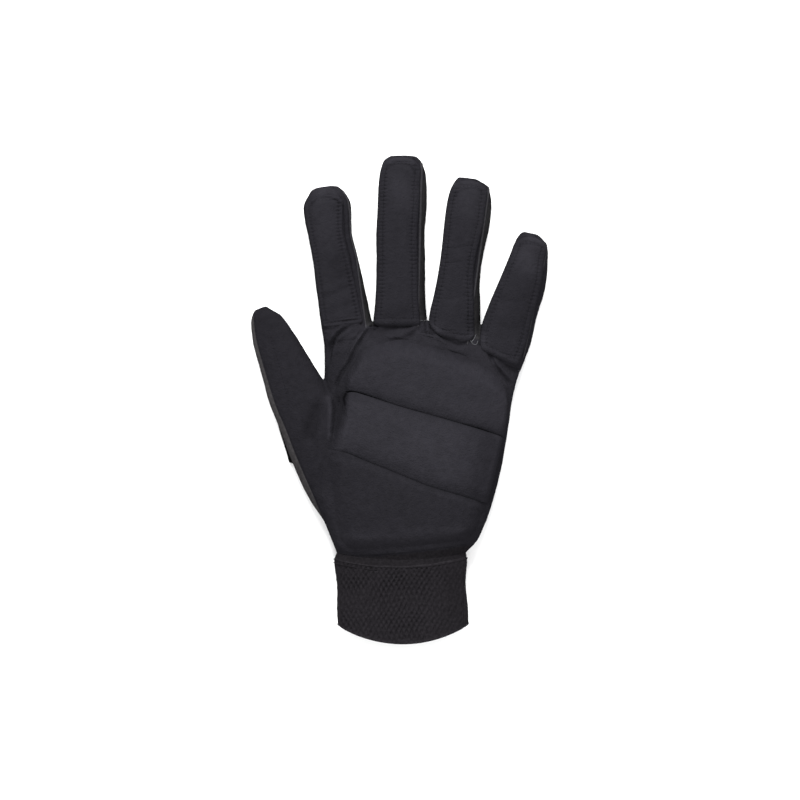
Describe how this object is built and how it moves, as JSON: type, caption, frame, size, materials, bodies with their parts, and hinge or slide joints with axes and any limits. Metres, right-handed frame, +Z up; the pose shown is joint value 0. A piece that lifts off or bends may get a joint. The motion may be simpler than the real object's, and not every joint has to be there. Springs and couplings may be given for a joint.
{
  "type": "baseball sliding glove",
  "caption": "Padded left-hand sliding glove lying palm up, with quilted palm pads, stitched finger patches, a set-in thumb and a knitted wrist cuff.",
  "frame": {"origin": "on the surface that the glove lies on, under the middle of its outline", "axes": "+Y from the cuff towards the fingertips, +Z up out of the palm, +X towards the little finger"},
  "size_m": [0.1481, 0.2433, 0.0271],
  "materials": {
    "palm_leather": "matt black leather",
    "patch_leather": "matt black leather with fine grain",
    "pad_leather": "soft black leather over foam",
    "stretch_cloth": "black stretch cloth",
    "binding_cloth": "smooth black binding",
    "knit": "ribbed black knit",
    "guard_cloth": "dense black cloth over foam"
  },
  "bodies": {
    "root": {"palm_shell": "palm_leather", "thumb_shell": "palm_leather", "back_shell": "stretch_cloth", "fourchette_index_middle": "stretch_cloth", "fourchette_middle_ring": "stretch_cloth", "fourchette_ring_little": "stretch_cloth", "patch_index": "patch_leather", "patch_middle": "patch_leather", "patch_ring": "patch_leather", "patch_little": "patch_leather", "pad_upper": "pad_leather", "pad_middle": "pad_leather", "pad_heel": "pad_leather", "cuff_band": "binding_cloth", "cuff_knit": "knit", "thumb_guard": "guard_cloth"}
  },
  "joints": []
}
